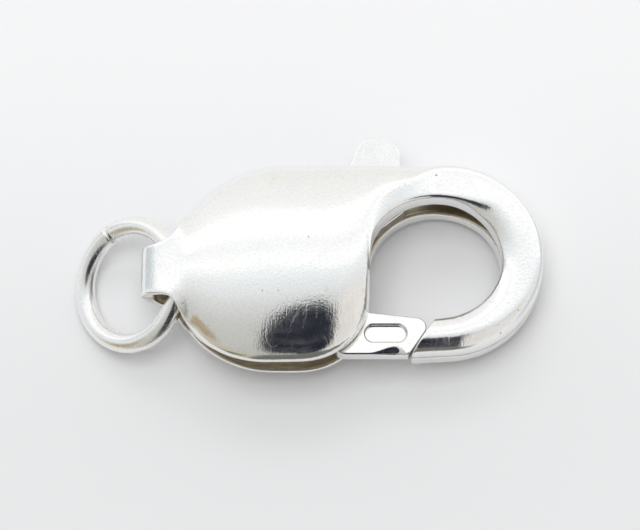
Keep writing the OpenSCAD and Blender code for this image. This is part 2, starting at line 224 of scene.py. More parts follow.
def crown(i):
    """Height of the crown at a section."""
    x = mid_x(i)
    if PLACES[i] >= AT_HOOK:
        return mix(HOOK_CREST, TIP_HALF, over(PLACES[i], TAPER_SPAN))
    if x < CREST_TO:
        return mix(NECK_HALF, BODY_HALF, sind(90 * share(x, LOOP_LEN, CREST_FROM)))
    return mix(BODY_HALF, HOOK_CREST, over(x, (CREST_TO, HOOK_FROM)))


def neck_share(x):
    return over(x, (PINCH_TO, PINCH_FROM))


def open_gap(i):
    """Half of the gap between the shells at a section."""
    x = mid_x(i)
    slot = mix(PINCH_HALF, SLOT_HALF, sind(90 * share(x, PINCH_TO, CREST_FROM)))
    return mix(slot, NECK_HALF - SHEET, neck_share(x))


def closing(i, span):
    """The same where the gap closes to a seam over a span of places."""
    p = PLACES[i]
    gap = open_gap(i) if p < span[0] else SLOT_HALF * (1 - over(p, span))
    return 0.0 if gap < LEAST_GAP else gap


def curves_at(p, back):
    """Exponents at the inner and the outer side: the edge of the eye is the squarest over the
    arm, and the outside of the hook is fuller than the flanks of the body."""
    square = over(p, SQUARE_SPAN) * (1 - over(p, SQUARE_END))
    inner = mix(mix(ROUND_FLANK, WALLED, over(p, WALL_SPAN)), SQUARE, square)
    outer = mix(ROUND_FLANK, FULL_SIDE, over(p, SIDE_SPAN))
    return inner, mix(outer, WALLED if back else TIP_FLANK, over(p, FLANK_SPAN))


def rim_at(i, gap, held, wall):
    """Height of the rim, where the upright side meets the crown."""
    edge = max(gap, SLOT_HALF if held else 0) + mix(LOW_WALL, EYE_WALL, wall)
    scale = 1 if PLACES[i] < AT_HOOK else crown(i) / HOOK_CREST
    return scale * max(gap + SHEET, mix(edge, NECK_HALF, neck_share(mid_x(i))))


# One section of the sheet
ROLL_R = 0.30        # reach of the soft turn from the crown to the wall beside the gate
SHARP_ROLL_R = 0.12  # the same elsewhere
SEAM_DEEP = 0.045    # depth of the soldered seam
SIDE_POINTS = 5      # along each upright side
ACROSS = 22          # over the crown
DRAWN = 241          # points of the crown as it is first drawn
FINE = 0.01          # step of the line while its corners are turned softly
BEND_WEIGHT = 0.5    # how much closer together the points stand in a bend


def dome(u, rim, top, curve):
    """Height of the crown at u, which runs from -1 at the inner side to 1 at the outer one."""
    return rim + (top - rim) * np.maximum(0.0, 1 - np.abs(u) ** curve[0]) ** (1 / curve[1])


def resampled(line, count, bend_weight=0.0):
    """Points spread evenly along a line, closer together where it bends."""
    step = np.diff(line, axis=0)
    length = np.maximum(np.linalg.norm(step, axis=1), 1e-9)
    way = np.arctan2(step[:, 1], step[:, 0])
    bend = np.abs(np.diff(np.unwrap(way), prepend=way[0]))
    measure = np.concatenate([[0], np.cumsum(length + bend_weight * bend)])
    at = np.linspace(0, measure[-1], count)
    return np.stack([np.interp(at, measure, line[:, k]) for k in (0, 1)], 1)


def blurred(line, reach):
    """The line with its corners turned softly; its two ends stay."""
    total = np.linalg.norm(np.diff(line, axis=0), axis=1).sum()
    even = resampled(line, max(9, int(total / FINE)))
    n = min(max(1, int(reach / FINE)), (len(even) - 1) // 3)
    kernel = np.hanning(2 * n + 3)[1:-1]
    kernel /= kernel.sum()
    out = even.copy()
    for k in (0, 1):
        ends = 2 * even[0, k] - even[n:0:-1, k], 2 * even[-1, k] - even[-2:-n - 2:-1, k]
        out[:, k] = np.convolve(np.concatenate([ends[0], even[:, k], ends[1]]), kernel, "valid")
    return out


def section(start, end, gaps, rims, top, curves, inside=False, roll=ROLL_R):
    """Points of one layer of the sheet, from the inner side over the crown to the outer side."""
    start, end = np.asarray(start, float), np.asarray(end, float)
    length = np.linalg.norm(end - start)
    way = (end - start) / length
    u = np.sin(np.linspace(-90, 90, DRAWN) * math.pi / 180)
    z = np.where(u < 0, dome(u, rims[0], top, curves[0]), dome(u, rims[1], top, curves[1]))
    s = (u + 1) / 2 * length
    line = np.concatenate([[(0, gaps[0])], np.stack([s, z], 1), [(length, gaps[1])]])
    # the turn stays shorter than the section and than its lower upright side
    reach = min(roll, 0.3 * length, 0.9 * min(r - g for r, g in zip(rims, gaps)) + 0.02)
    line = resampled(blurred(line, reach), ACROSS + 2 * SIDE_POINTS + 1, BEND_WEIGHT)
    row = np.column_stack([start + np.outer(line[:, 0], way), line[:, 1]])
    for gap, at, inwards in ((gaps[0], 0, way), (gaps[1], -1, -way)):
        if gap == 0 and not inside:
            # the soldered seam lies a little deeper
            row[at, :2] += inwards * SEAM_DEEP
    return row


def inset(path, side):
    """The path moved into the sheet by its thickness."""
    first = np.array([LOOP_R, path[0][1]])
    ahead = np.vstack([path[1:], path[-1:]])
    behind = np.vstack([first, path[:-1]])
    t = ahead - behind
    t /= np.linalg.norm(t, axis=1)[:, None]
    normal = np.stack([-t[:, 1], t[:, 0]], 1) * (1 if side == 0 else -1)
    return path + SHEET * normal


IN_INNER, IN_OUTER = inset(INNER, 0), inset(OUTER, 1)
LIP = 0.17 * SHEET      # least height of the inside's rim above the gap
RIM_IN = 0.7 * SHEET    # how far the inside's rim lies below the outside's
CROWN_IN = 1.1 * SHEET  # the same at the crown


def shell_row(i, inside, back):
    """A section of a shell. The front shell runs rounded down to the seam at the tip, the back one
    keeps an upright side."""
    p = PLACES[i]
    taper = over(p, TAPER_SPAN)
    sink = over(p, SINK_SPAN) * (1 - taper if back else 1)
    roll = mix(SHARP_ROLL_R, ROLL_R, over(p, SOFT_SPAN) * (1 - over(p, SQUARE_SPAN)))
    gaps = [closing(i, span) for span in SEAM_SPANS]
    rims = (rim_at(i, gaps[0], p > AT_HOOK, over(p, WALL_SPAN)),
            mix(rim_at(i, gaps[1], p > AT_ROOT, taper), LOW_WALL, sink))
    curves = curves_at(p, back)
    if not inside:
        return section(INNER[i], OUTER[i], gaps, rims, crown(i), curves, False, roll)
    low = (max(gaps[0] + LIP, rims[0] - RIM_IN),
           max(gaps[1] + LIP, rims[1] - RIM_IN * (1 - sink)))
    return section(IN_INNER[i], IN_OUTER[i], gaps, low, crown(i) - CROWN_IN, curves, True, roll)


# The fold and the neck
NECK_STEPS, FOLD_STEPS = 6, 16
FOLD_LEAN = 25  # the strip leaves the fold rising towards the neck
NOSE_T = 0.88   # thickness of the fold at its end as the photo shows it
STRIP_W = mix(LOOP_W, NECK_W, 0.4)
STRIP_SIDE = 0.8 * SHEET       # thickness of the strip at its two sides
STRIP_CROWN = 0.03             # height of the strip's crown over its sides
STRIP_IN = (0.04, 0.06)        # rim and crown of the inside above the strip's hollow face
EASED_TIMES = 8                # how often the creases at the neck are evened out
INTO_SHELL, INTO_FOLD = 12, 4  # how many sections either side of the neck that takes in


def strip_row(half_w, outer_z, inner_z, inside):
    """A section of the strip in the fold."""
    lo, hi = LOOP_Y - half_w, LOOP_Y + half_w
    rim, top = outer_z - STRIP_CROWN, outer_z
    if inside:
        lo, hi = lo + STRIP_SIDE, hi - STRIP_SIDE
        rim, top = inner_z + STRIP_IN[0], inner_z + STRIP_IN[1]
    return section((0, lo), (0, hi), (inner_z,) * 2, (rim,) * 2, top, (WALLED, WALLED), inside)


def fold_rows(inside):
    """From the back side round the fold to the front side."""
    rows = []
    for k in range(FOLD_STEPS + 1):
        turn = mix(180 - FOLD_LEAN, FOLD_LEAN, k / FOLD_STEPS)
        nose = sind(turn)
        inner_r = LOOP_R - mix(SHEET, NOSE_T, nose ** 2)
        _, y, z = strip_row(mix(STRIP_W, LOOP_W, nose) / 2, LOOP_R, inner_r, inside).T
        rows.append(np.column_stack([LOOP_R - z * nose, y, z * cosd(turn)]))
    return rows


def eased(rows, start, end):
    """The rows with the creases from start to end evened out."""
    return rows[:start] + list(softened(np.array(rows[start:end]), EASED_TIMES)) + rows[end:]


def shell_rows(inside, back):
    """One layer of a shell, from the neck to the tip."""
    rows = [shell_row(i, inside, back) for i in range(LAST + 1)]
    if inside:
        # the hollow stops short of the tip
        short = TIP_WALL / np.linalg.norm(OUTER[LAST] - OUTER[LAST - 2])
        end, before = rows[LAST], rows[LAST - 2]
        rows[LAST] = mix(end, before, min(0.9, short))
        rows[LAST - 1] = mix(end, before, min(0.95, short + 0.1))
    return rows


def layer_rows(inside):
    """One layer of the sheet, from the tip of the back shell round the fold to that of the front one."""
    fold = fold_rows(inside)
    halves = []
    for back in (True, False):
        shell = shell_rows(inside, back)
        # the neck runs straight from the end of the fold to the shell
        neck = [mix(fold[-1], shell[0], k / NECK_STEPS) for k in range(1, NECK_STEPS)]
        halves.append(neck + shell)
    rows = [row * (1, 1, -1) for row in reversed(halves[0])] + fold + halves[1]
    into = NECK_STEPS + INTO_SHELL
    first = len(halves[0])
    last = first + len(fold)
    rows = eased(rows, first - into, first + INTO_FOLD)
    return eased(rows, last - INTO_FOLD, last + into)


TIP_RIM = 0.09    # width of the soft rim round the wall that closes the tip
SOLDERED = 1e-6   # the edges of the shells are soldered where they are this near the seam
CLOSE = 1e-9      # corners of the mesh this near each other, in metres, are one


def shell_mesh():
    """The body: both shells, the fold between them, the soldered hook and its closed tip."""
    out, ins = layer_rows(False), layer_rows(True)
    bm = bmesh.new()
    verts = [bm.verts.new(q) for q in lain(np.concatenate(out + ins))]
    wide, count = len(out[0]), len(out)

    def v(row, col, inner=False):
        return verts[((count if inner else 0) + row) * wide + col]

    def raw(*corners):
        """A face of the unpolished inside or of the cut edge."""
        bm.faces.new(corners).material_index = 1

    for r in range(count - 1):
        for c in range(wide - 1):
            bm.faces.new((v(r, c), v(r, c + 1), v(r + 1, c + 1), v(r + 1, c)))
            raw(v(r, c, True), v(r + 1, c, True), v(r + 1, c + 1, True), v(r, c + 1, True))
        for c, a, b in ((0, r, r + 1), (wide - 1, r + 1, r)):
            if max(abs(out[a][c][2]), abs(out[b][c][2])) > SOLDERED:
                raw(v(a, c), v(b, c), v(b, c, True), v(a, c, True))
    bm.faces.new([v(count - 1, c) for c in range(wide)] + [v(0, c) for c in range(wide - 2, 0, -1)])
    end = [v(count - 1, c, True) for c in range(wide)] + [v(0, c, True) for c in range(wide - 2, 0, -1)]
    raw(*reversed(end))
    bmesh.ops.remove_doubles(bm, verts=bm.verts, dist=CLOSE)
    cap = [f for f in bm.faces if len(f.verts) > 4 and f.material_index == 0]
    bmesh.ops.inset_region(bm, faces=cap, thickness=TIP_RIM * MM, use_even_offset=True)
    bmesh.ops.recalc_face_normals(bm, faces=bm.faces)
    return bm


def finished(bm, name, materials, levels=1):
    """A smooth object made from a mesh, with its materials; levels rounds it off further."""
    mesh = bpy.data.meshes.new(name)
    bm.to_mesh(mesh)
    bm.free()
    for poly in mesh.polygons:
        poly.use_smooth = True
    ob = bpy.data.objects.new(name, mesh)
    bpy.context.scene.collection.objects.link(ob)
    for m in materials:
        mesh.materials.append(m)
    if levels:
        sub = ob.modifiers.new("round_off", "SUBSURF")
        sub.levels = sub.render_levels = levels
    return ob


# The lever
ARC = 8  # steps round each corner


def rounded(points):
    """Outline with a rounded corner at each point: x, y, radius."""
    out = []
    n = len(points)
    for i, (x, y, r) in enumerate(points):
        q = np.array([x, y])
        a = unit(np.array(points[i - 1][:2]) - q)
        b = unit(np.array(points[(i + 1) % n][:2]) - q)
        half = math.acos(max(-1.0, min(1.0, float(a @ b)))) / 2
        mid = q + unit(a + b) * r / math.sin(half)
        start = q + a * r / math.tan(half) - mid
        end = q + b * r / math.tan(half) - mid
        out += [mid + unit(mix(start, end, k / ARC)) * r for k in range(ARC + 1)]
    return out


TIP_DIR = unit(TIP_IN - TIP_OUT)
END_POINT = TIP_IN + np.array([-TIP_DIR[1], TIP_DIR[0]]) * GATE_GAP


def end_at(y):
    """x of the gate's slanted end at a place across the clasp."""
    return (END_POINT + TIP_DIR * (y - END_POINT[1]) / TIP_DIR[1])[0]


GATE_TOP, GATE_LOW = EYE_BOTTOM + GATE_OVER, HOOK_BOTTOM
GATE_MID = (GATE_TOP + GATE_LOW) / 2
ROOT_X = EYE_LEFT - SHEET
TAB_TOP, TAB_RIGHT = TOP + TAB_OUT, EYE_LEFT + 0.24 * EYE_LEN
TAB_LEFT = TAB_RIGHT - TAB_W
# Corners from the gate's end up the arm, round the tab and the hub and back along the gate
LEVER = [
    (end_at(GATE_TOP), GATE_TOP, GATE_R),
    (ROOT_X, GATE_TOP + GATE_RISE, ROOT_R),
    (ROOT_X, EYE_Y + 0.185 * EYE_W, BEND_R),
    (TAB_RIGHT + 0.055 * EYE_LEN, EYE_TOP - 0.08 * ARM_TOP, 0.6 * BEND_R),
    (TAB_RIGHT, TOP - 0.3 * ARM_TOP, BEND_R),
    (TAB_RIGHT, TAB_TOP, 0.46 * TAB_W),
    (TAB_LEFT + 0.12 * TAB_W, TAB_TOP, 0.36 * TAB_W),
    (TAB_LEFT - 0.17 * TAB_W, TOP + 0.1 * TAB_OUT, 0.28 * TAB_OUT),
    (PIVOT[0] - 0.24 * HUB_R, PIVOT[1] + 2.1 * HUB_R, 0.7 * HUB_R),
    (PIVOT[0] - HUB_R, PIVOT[1] + 0.3 * HUB_R, 0.7 * HUB_R),
    (PIVOT[0] - 0.9 * HUB_R, PIVOT[1] - HUB_R, 0.5 * HUB_R),
    (PIVOT[0] + 0.2 * HUB_R, GATE_LOW, 0.9 * HUB_R),
    (end_at(GATE_LOW), GATE_LOW, 0.3 * GATE_R),
]
PANEL_MID = (end_at(GATE_MID) - PANEL_IN - PANEL_LEN / 2, GATE_MID + PANEL_UP)
GATE_END = lain([(end_at(GATE_LOW), GATE_LOW, LEVER_T / 2)])[0]

# Edges of the lever
EDGE_SOFT, EDGE_LEAST, EDGE_PLAIN = 0.60, 0.12, 0.11  # the worn edge at most and least, the others
EDGE_TURN = 40                                        # an edge that turns less isn't softened
EDGE_STEPS = 4
WORN_FROM, WORN_FULL, WORN_END = 2.3, 0.7, 0.25  # the worn stretch, from the gate's end
WORN_STEPS = 8
TAB_UNDARKENED = 0.4  # how far down from the body's top the tab's sides stay undarkened


def prism(outline, low, high, name):
    """A closed prism in the clasp's frame, as an object."""
    bm = bmesh.new()
    n = len(outline)
    bottom = [bm.verts.new(q) for q in lain([(*p, low) for p in outline])]
    top = [bm.verts.new(q) for q in lain([(*p, high) for p in outline])]
    bm.faces.new(reversed(bottom))
    bm.faces.new(top)
    for i in range(n):
        k = (i + 1) % n
        bm.faces.new((bottom[i], bottom[k], top[k], top[i]))
    bmesh.ops.recalc_face_normals(bm, faces=bm.faces)
    return finished(bm, name, [], 0)


def stadium(mid, length, width, steps=20):
    """Outline of a long panel with round ends."""
    r, half = width / 2, length / 2 - width / 2
    pts = []
    for side in (1, -1):
        for k in range(steps + 1):
            a = 180 * k / steps - 90
            pts.append((mid[0] + side * (half + r * cosd(a)), mid[1] + side * r * sind(a)))
    return pts


def circle(mid, r, steps=64):
    turns = [360 * k / steps for k in range(steps)]
    return [(mid[0] + r * cosd(a), mid[1] + r * sind(a)) for a in turns]


def cut(ob, tool):
    """Takes the tool's shape out of the object and removes the tool."""
    m = ob.modifiers.new("cut", "BOOLEAN")
    m.operation = "DIFFERENCE"
    m.solver = "EXACT"
    m.object = tool
    bpy.context.view_layer.update()
    evaluated = ob.evaluated_get(bpy.context.evaluated_depsgraph_get())
    mesh = bpy.data.meshes.new_from_object(evaluated)
    ob.modifiers.clear()
    ob.data = mesh
    bpy.data.objects.remove(tool)


def on_worn_edge(edge):
    """Whether an edge lies on the gate's lower edge at the front."""
    mid = (edge.verts[0].co + edge.verts[1].co) / 2
    plane_z = hinge["pos_m"][2] - math.tan(LIE) * (mid.x - hinge["pos_m"][0])
    return abs(mid.y - GATE_END[1]) < 0.02 * MM and mid.z > plane_z


def soften_edges(ob):
    """How soft each edge of the lever is: the gate's lower edge is worn towards its end."""
    bm = bmesh.new()
    bm.from_mesh(ob.data)
    layer = bm.edges.layers.float.new("bevel_weight_edge")
    for edge in [e for e in bm.edges if on_worn_edge(e)]:
        left, corner = sorted(edge.verts, key=lambda v: v.co.x)
        for _ in range(WORN_STEPS if edge.calc_length() > WORN_FROM * MM else 0):
            part = WORN_FROM * MM / WORN_STEPS / edge.calc_length()
            _, corner = bmesh.utils.edge_split(edge, corner, part)
            edge = [e for e in corner.link_edges if left in e.verts][0]
    for edge in bm.edges:
        if len(edge.link_faces) == 2 and edge.calc_face_angle(0) > math.radians(EDGE_TURN):
            from_end = (GATE_END[0] - (edge.verts[0].co.x + edge.verts[1].co.x) / 2) / MM
            worn = over(from_end, (WORN_FROM, WORN_FULL)) * share(from_end, WORN_END, WORN_FULL)
            soft = mix(EDGE_LEAST, EDGE_SOFT, worn) if on_worn_edge(edge) else EDGE_PLAIN
            edge[layer] = soft / EDGE_SOFT
    bm.to_mesh(ob.data)
    bm.free()


def darken_sides(ob):
    """The cut sides that face the hook, in the gaps between the parts, get the dark edge material, apart
    from the tab's.
    """
    front = Vector(TURN @ np.array([0, 0, 1.0]))
    tab_low = lain([(0, TOP - TAB_UNDARKENED, 0)])[0][1]
    for poly in ob.data.polygons:
        upright = abs(poly.normal.dot(front)) < 0.7
        darkened = upright and poly.normal.x > 0.3 and poly.center.y < tab_low
        poly.material_index = 1 if darkened else 0


def lever_object(name, materials):
    """The plate with its bore and its sunk panel, its edges softened."""
    ob = prism(rounded(LEVER), -LEVER_T / 2, LEVER_T / 2, name)
    cut(ob, prism(circle(PIVOT, PIN_R + PIN_CLEAR), -LEVER_T, LEVER_T, "bore_tool"))
    cut(ob, prism(stadium(PANEL_MID, PANEL_LEN, PANEL_W), LEVER_T / 2 - PANEL_D, LEVER_T, "panel_tool"))
    bm = bmesh.new()
    bm.from_mesh(ob.data)
    bmesh.ops.remove_doubles(bm, verts=bm.verts, dist=10 * CLOSE)
    bmesh.ops.dissolve_limit(bm, angle_limit=math.radians(1), verts=bm.verts, edges=bm.edges)
    bm.to_mesh(ob.data)
    bm.free()
    for m in materials:
        ob.data.materials.append(m)
    darken_sides(ob)
    soften_edges(ob)
    soft = ob.modifiers.new("soft_edges", "BEVEL")
    soft.width = EDGE_SOFT * MM
    soft.segments = EDGE_STEPS
    soft.limit_method = "WEIGHT"
    soft.harden_normals = True
    soft.use_clamp_overlap = False
    for poly in ob.data.polygons:
        poly.use_smooth = True
    return ob


# The jump ring
RING_STEPS, ROUND_STEPS = 150, 36  # sections along the wire, points round it
SLIM, SLIM_STEPS = 0.06, 1.2       # how much slimmer the cut ends are, over how many sections
ASIDE, ASIDE_FADE = 0.05, 22       # how far they stand out of line, and how fast that fades
OPENED, OPENED_FADE = 0.03, 16     # how far the first one stands outwards
FIRST_TILT, TILT_TRIES, TILT_GAIN = 38.0, 60, 8


def ring_placed(points, tilt):
    """Points of the ring's own plane, about the middle of the wire in the loop, put into the loop."""
    ct, st, cr, sr = cosd(tilt), sind(tilt), cosd(RING_ROLL), sind(RING_ROLL)
    roll = np.array([[1, 0, 0], [0, cr, -sr], [0, sr, cr]])
    down = np.array([[ct, 0, -st], [0, 1, 0], [st, 0, ct]])
    return np.asarray(points) @ (down @ roll).T + np.array([WIRE_X, LOOP_Y, 0])


def ring_tilt():
    """How far the ring hangs down: its lowest point is as high as the CAD's."""
    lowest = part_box("jump_ring")[0][2]
    line = [(RING_R * cosd(a) - RING_R, RING_R * sind(a), 0) for a in range(360)]
    tilt = FIRST_TILT
    for _ in range(TILT_TRIES):
        low = lain(ring_placed(line, tilt))[:, 2].min() - WIRE_R * MM
        tilt += (low - lowest) / MM * TILT_GAIN
    return tilt


def ring_object(name, materials):
    """Round wire bent to a ring: its two cut ends stand a little out of line."""
    tilt = ring_tilt()
    gap = 2 * math.degrees(math.asin(RING_CUT / 2 / RING_R))
    bm = bmesh.new()
    rings = []
    for i in range(RING_STEPS + 1):
        t = i / RING_STEPS
        a = CUT_AT + gap / 2 + t * (360 - gap)
        end = min(t, 1 - t) * RING_STEPS
        wire = WIRE_R * (1 - SLIM * max(0.0, 1 - end / SLIM_STEPS) ** 2)
        aside = ASIDE * (math.exp(-t * ASIDE_FADE) - math.exp(-(1 - t) * ASIDE_FADE))
        out = RING_R + OPENED * math.exp(-t * OPENED_FADE)
        row = []
        for k in range(ROUND_STEPS):
            b = 360 * k / ROUND_STEPS
            w = out + wire * cosd(b)
            row.append((w * cosd(a) - RING_R, w * sind(a), wire * sind(b) + aside))
        rings.append([bm.verts.new(q) for q in lain(ring_placed(row, tilt))])
    for a, b in zip(rings, rings[1:]):
        for k in range(ROUND_STEPS):
            n = (k + 1) % ROUND_STEPS
            bm.faces.new((a[k], b[k], b[n], a[n]))
    bm.faces.new(rings[0])
    bm.faces.new(reversed(rings[-1]))
    bmesh.ops.recalc_face_normals(bm, faces=bm.faces)
    return finished(bm, name, materials)


# Finishes
class Nodes:
    """A short way to place and join nodes in one tree."""

    def __init__(self, tree):
        self.tree = tree

    def add(self, kind, **values):
        node = self.tree.nodes.new(kind)
        for key, value in values.items():
            setattr(node, key, value)
        return node

    def join(self, source, target):
        self.tree.links.new(source, target)

    def feed(self, socket, value):
        if hasattr(value, "is_output"):
            self.join(value, socket)
        else:
            socket.default_value = value

    def fill(self, node, **values):
        """Feeds a node's inputs by their names, with _ for a space."""
        for name, value in values.items():
            self.feed(node.inputs[name.replace("_", " ")], value)
        return node

    def math(self, operation, *values, clamp=False):
        node = self.add("ShaderNodeMath", operation=operation, use_clamp=clamp)
        for socket, value in zip(node.inputs, values):
            self.feed(socket, value)
        return node.outputs[0]

    def most(self, values):
        """The largest of some values."""
        total = values[0]
        for value in values[1:]:
            total = self.math("MAXIMUM", total, value)
        return total

    def stretched(self, vector, scale, turn=(0, 0, 0)):
        node, turn = self.add("ShaderNodeMapping"), [math.radians(a) for a in turn]
        return self.fill(node, Vector=vector, Rotation=turn, Scale=scale).outputs[0]

    def noise(self, vector, scale, detail=2.0, roughness=0.5, distortion=0.0):
        node = self.add("ShaderNodeTexNoise")
        self.fill(node, Vector=vector, Scale=scale, Detail=detail, Roughness=roughness,
                  Distortion=distortion)
        return node.outputs["Fac"]

    def ranged(self, value, low, high, out_low=0.0, out_high=1.0):
        """A value's way from low to high, with soft ends."""
        node = self.add("ShaderNodeMapRange", interpolation_type="SMOOTHSTEP")
        self.fill(node, Value=value, From_Min=low, From_Max=high, To_Min=out_low, To_Max=out_high)
        return node.outputs["Result"]

    def tinted(self, cover, a, b):
        """Colour b laid over colour a."""
        node = self.add("ShaderNodeMix", data_type="RGBA")
        self.feed(node.inputs["Factor"], cover)
        for name, c in (("A", a), ("B", b)):
            socket = [s for s in node.inputs if s.name == name and s.type == "RGBA"][0]
            self.feed(socket, (*c, 1) if isinstance(c, tuple) else c)
        return [s for s in node.outputs if s.type == "RGBA"][0]


def nodes_of(material):
    """A material's nodes and its shader."""
    material.use_nodes = True
    return Nodes(material.node_tree), material.node_tree.nodes["Principled BSDF"]


def effect(name, inputs, output_names):
    """An empty shader node group with a place vector in millimetres and named values."""
    tree = bpy.data.node_groups.new(name, "ShaderNodeTree")
    tree.interface.new_socket("Place", in_out="INPUT", socket_type="NodeSocketVector")
    for key, value in inputs.items():
        tree.interface.new_socket(key, in_out="INPUT", socket_type="NodeSocketFloat").default_value = value
    for key in output_names:
        tree.interface.new_socket(key, in_out="OUTPUT", socket_type="NodeSocketFloat")
    n = Nodes(tree)
    return tree, n, n.add("NodeGroupInput").outputs, n.add("NodeGroupOutput").inputs


def rubbed_hair():
    """Fine hairs left by the polishing wheel across the piece, and a grain between them."""
    tree, n, given, out = effect("rubbed_hair", {"Spacing": 0.09, "Slant": 0.0}, ["Height", "Mask"])
    turn = n.add("ShaderNodeVectorRotate", rotation_type="Z_AXIS")
    turned = n.fill(turn, Vector=given["Place"], Angle=given["Slant"]).outputs[0]
    rate = n.math("DIVIDE", 1.0, given["Spacing"])
    hairs = n.noise(n.stretched(turned, (1.0, 0.06, 0.06)), rate, 3.0, 0.62)
    crossed = n.noise(n.stretched(turned, (0.8, 0.08, 0.08), (0, 0, 14)), rate, 2.0, 0.55)
    grain = n.noise(given["Place"], n.math("MULTIPLY", rate, 0.7), 2.0, 0.6)
    straight = n.math("MULTIPLY", hairs, 0.4)
    rest = n.math("ADD", n.math("MULTIPLY", crossed, 0.2), n.math("MULTIPLY", grain, 0.6))
    n.join(n.math("ADD", straight, rest), out["Height"])
    n.join(n.ranged(hairs, 0.56, 0.72), out["Mask"])
    return tree


def loose_scratches():
    """Single scratches from wear, in three ways, broken off here and there."""
    tree, n, given, out = effect("loose_scratches", {"Spacing": 1.6, "Share": 0.5}, ["Height", "Mask"])
    rate = n.math("DIVIDE", 1.0, given["Spacing"])
    kept = n.math("SUBTRACT", 1.02, given["Share"])
    ways = []
    for turn, wide in ((12, 0.011), (-38, 0.009), (79, 0.010)):
        drawn = n.noise(n.stretched(given["Place"], (1.0, 0.12, 0.5), (0, 0, turn)), rate, 0.0, 0.5, 0.35)
        line = n.ranged(n.math("ABSOLUTE", n.math("SUBTRACT", drawn, 0.5)), 0.0, wide, 1.0, 0.0)
        broken = n.noise(n.stretched(given["Place"], (0.9, 0.5, 0.9), (0, 0, turn + 55)), 0.8, 2.0)
        ways.append(n.math("MULTIPLY", line, n.ranged(broken, n.math("MULTIPLY", kept, 0.95), kept)))
    total = n.most(ways)
    n.join(n.math("MULTIPLY", total, -1.0), out["Height"])
    n.join(total, out["Mask"])
    return tree


def toning():
    """Clouds of thin yellow toning with soft borders."""
    tree, n, given, out = effect("toning", {"Spacing": 3.0, "Cover": 0.4}, ["Mask"])
    rate = n.math("DIVIDE", 1.0, given["Spacing"])
    clouds = n.noise(given["Place"], rate, 4.0, 0.55, 0.6)
    edge = n.math("SUBTRACT", 0.78, n.math("MULTIPLY", given["Cover"], 0.5))
    n.join(n.ranged(clouds, edge, n.math("ADD", edge, 0.22)), out["Mask"])
    return tree


def pits():
    """Small dark pits and specks of dirt."""
    tree, n, given, out = effect("pits", {"Spacing": 1.1, "Size": 0.05}, ["Mask"])
    cells = n.add("ShaderNodeTexVoronoi", feature="F1")
    n.fill(cells, Vector=given["Place"], Scale=n.math("DIVIDE", 1.0, given["Spacing"]))
    tone = n.add("ShaderNodeSeparateColor")
    n.join(cells.outputs["Color"], tone.inputs[0])
    reach = n.math("MULTIPLY", n.math("DIVIDE", given["Size"], given["Spacing"]), tone.outputs[0])
    spot = n.math("LESS_THAN", cells.outputs["Distance"], reach)
    n.join(n.math("MULTIPLY", spot, n.math("GREATER_THAN", tone.outputs[1], 0.62)), out["Mask"])
    return tree


# Marks of the front shell: x and y of each and its reach, from the frame's origin
SPECKS = ((0.63, -0.13, 0.055), (-2.19, -3.51, 0.045), (-1.21, -3.54, 0.04), (13.27, -4.28, 0.06),
          (12.14, -5.61, 0.045), (12.0, -5.2, 0.035), (5.4, -2.9, 0.04))
STAINS = ((-1.56, 3.96, 0.24), (-1.75, 3.6, 0.15), (1.7, -3.4, 0.26), (-7.5, 0.3, 0.2), (3.9, -3.3, 0.2))
DULLED = ((-7.6, -3.6, 0.8), (-7.35, -4.3, 0.7))


def marks():
    """The front shell's specks and yellow stains, and the crease at the neck that stayed dull."""
    tree, n, given, out = effect("marks", {}, ["Speck", "Stain", "Dull"])
    flat = n.add("ShaderNodeVectorMath", operation="MULTIPLY")
    n.join(given["Place"], flat.inputs[0])
    flat.inputs[1].default_value = (1, 1, 0)
    ragged = n.ranged(n.noise(given["Place"], 9.0, 3.0, 0.7), 0.3, 0.7, 0.55, 1.5)
    for key, spots, soft in (("Speck", SPECKS, 0.6), ("Stain", STAINS, 0.1), ("Dull", DULLED, 0.4)):
        near = []
        for x, y, reach in spots:
            far = n.add("ShaderNodeVectorMath", operation="DISTANCE")
            n.join(flat.outputs[0], far.inputs[0])
            far.inputs[1].default_value = (x, y, 0)
            away = n.math("MULTIPLY", far.outputs["Value"], ragged)
            near.append(n.ranged(away, reach * soft, reach, 1.0, 0.0))
        n.join(n.most(near), out[key])
    return tree


def seam():
    """The soldered line where the two shells meet round the hook."""
    tree, n, given, out = effect("seam", {"Reach": 0.05}, ["Mask"])
    across = n.add("ShaderNodeVectorMath", operation="DOT_PRODUCT")
    n.join(given["Place"], across.inputs[0])
    across.inputs[1].default_value = tuple(TURN[:, 2])
    middle = float(np.array(hinge["pos_m"]) @ TURN[:, 2]) / MM
    off = n.math("ABSOLUTE", n.math("SUBTRACT", across.outputs["Value"], middle))
    uneven = n.noise(given["Place"], 2.4, 2.0, 0.6)
    wide = n.math("MULTIPLY", given["Reach"], n.ranged(uneven, 0.3, 0.7, 0.5, 1.5))
    n.join(n.ranged(off, n.math("MULTIPLY", wide, 0.5), wide, 1.0, 0.0), out["Mask"])
    return tree


EFFECTS = {make.__name__: make() for make in (rubbed_hair, loose_scratches, toning, pits, marks, seam)}


def placed(n, name, place, **values):
    """An effect set into a material with its own values."""
    return n.fill(n.add("ShaderNodeGroup", node_tree=EFFECTS[name]), Place=place, **values).outputs


# How strongly each kind of wear shows in the silver
DIRT = (0.16, 0.14, 0.12)  # colour of dirt
STAIN_COVER, DIRT_COVER = 0.8, 0.75
GRAIN_DARK, DRIFT_TINT = 0.88, (0.985, 0.99, 1.0)
RUBBED_MATT, STAIN_MATT, DIRT_MATT, DULL_MATT = 0.10, 0.08, 0.3, 0.42
PIT_DEEP = -0.004
GLOSS_SPREAD = (0.8, 1.25)  # least and most roughness as shares of the whole


